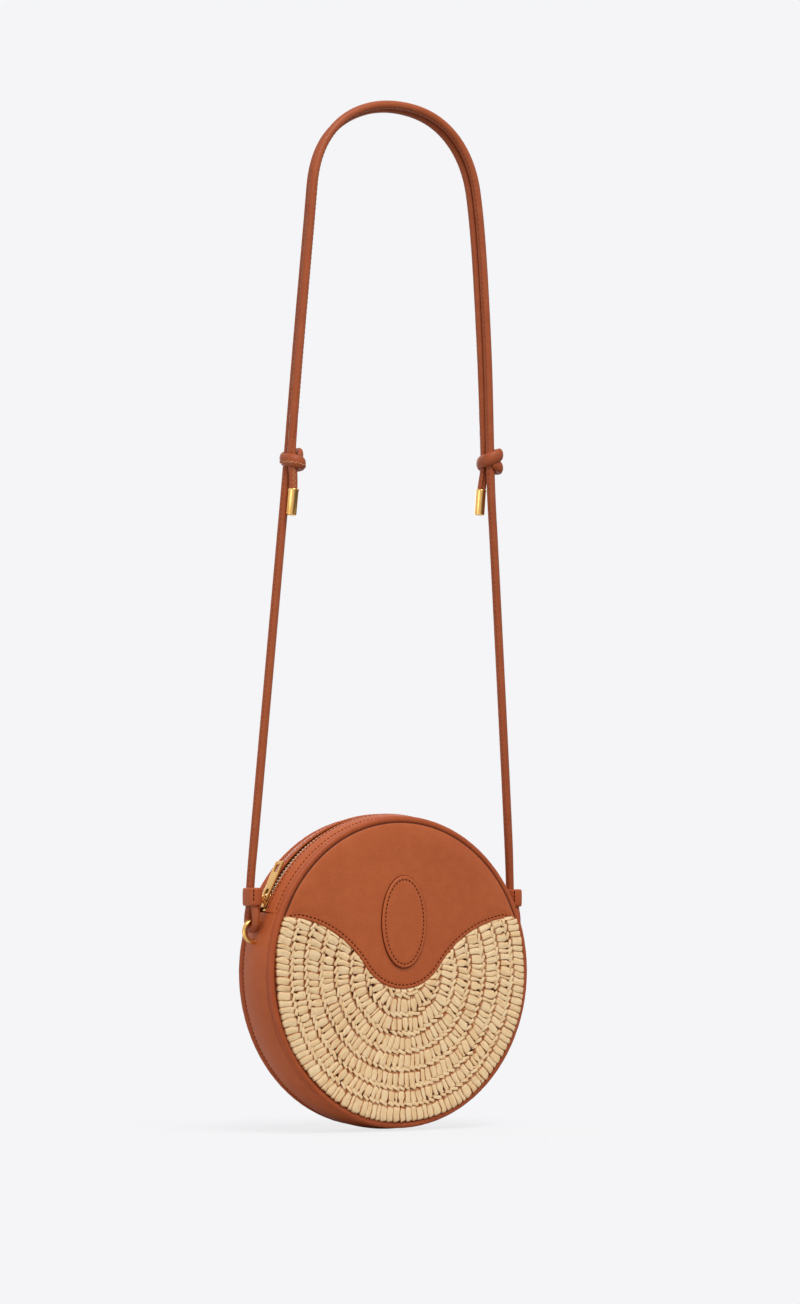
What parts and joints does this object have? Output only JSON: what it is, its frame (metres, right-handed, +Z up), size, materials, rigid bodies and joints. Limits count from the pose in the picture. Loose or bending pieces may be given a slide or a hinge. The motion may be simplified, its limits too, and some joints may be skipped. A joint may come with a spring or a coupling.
{
  "type": "round crossbody bag",
  "caption": "Round stiff crossbody bag with a zip over the top, a crocheted front panel under a leather yoke, and a corded shoulder strap adjusted by sliding knots.",
  "frame": {"origin": "underside of the strap's arch, where a hook or a shoulder carries the bag", "axes": "+X to the right seen from the front, +Y to the back of the bag, +Z up"},
  "size_m": [0.225, 0.044, 0.6977],
  "materials": {
    "leather": "smooth tan leather with a soft sheen",
    "dark_leather": "tan leather strap cord",
    "raffia": "crocheted natural raffia",
    "tape": "woven zip tape",
    "lining": "cotton lining",
    "board": "bag board",
    "brass": "polished brass",
    "steel": "plated steel"
  },
  "bodies": {
    "strap": {"strap_cord_left": "dark_leather", "strap_cord_right": "dark_leather", "knot_left": "dark_leather", "knot_right": "dark_leather", "ferrule_left": "brass", "ferrule_right": "brass", "keeper_left": "dark_leather", "keeper_right": "dark_leather"},
    "bag": {"gusset_lower": "leather", "gusset_lining": "lining", "zip_strip_front": "leather", "zip_strip_rear": "leather", "zip_tape_front": "tape", "zip_tape_rear": "tape", "zip_teeth_front": "brass", "zip_teeth_rear": "brass", "zip_stop_left": "brass", "zip_stop_right": "brass", "front_board": "board", "front_lining": "lining", "crochet_panel": "raffia", "front_yoke": "leather", "oval_badge": "leather", "front_piping": "leather", "back_piping": "leather", "back_panel": "leather", "back_lining": "lining", "staple_left": "brass", "staple_right": "brass", "staple_plate_left": "steel", "staple_plate_right": "steel"},
    "slider": {"zip_slider": "brass"},
    "pull": {"zip_pull": "brass"}
  },
  "joints": [
    {"name": "bag_swing", "type": "hinge", "parent": "strap", "child": "bag", "pos_m": [0, 0, -0.5525], "axis": [1, 0, 0], "range_deg": [-85, 85]},
    {"name": "zipper_travel", "type": "hinge", "parent": "bag", "child": "slider", "pos_m": [0, 0, -0.586], "axis": [0, 1, 0], "range_deg": [0, 104]},
    {"name": "pull_swing", "type": "hinge", "parent": "slider", "child": "pull", "pos_m": [-0.09584, 0, -0.53821], "axis": [0, -1, 0], "range_deg": [0, 30]}
  ]
}
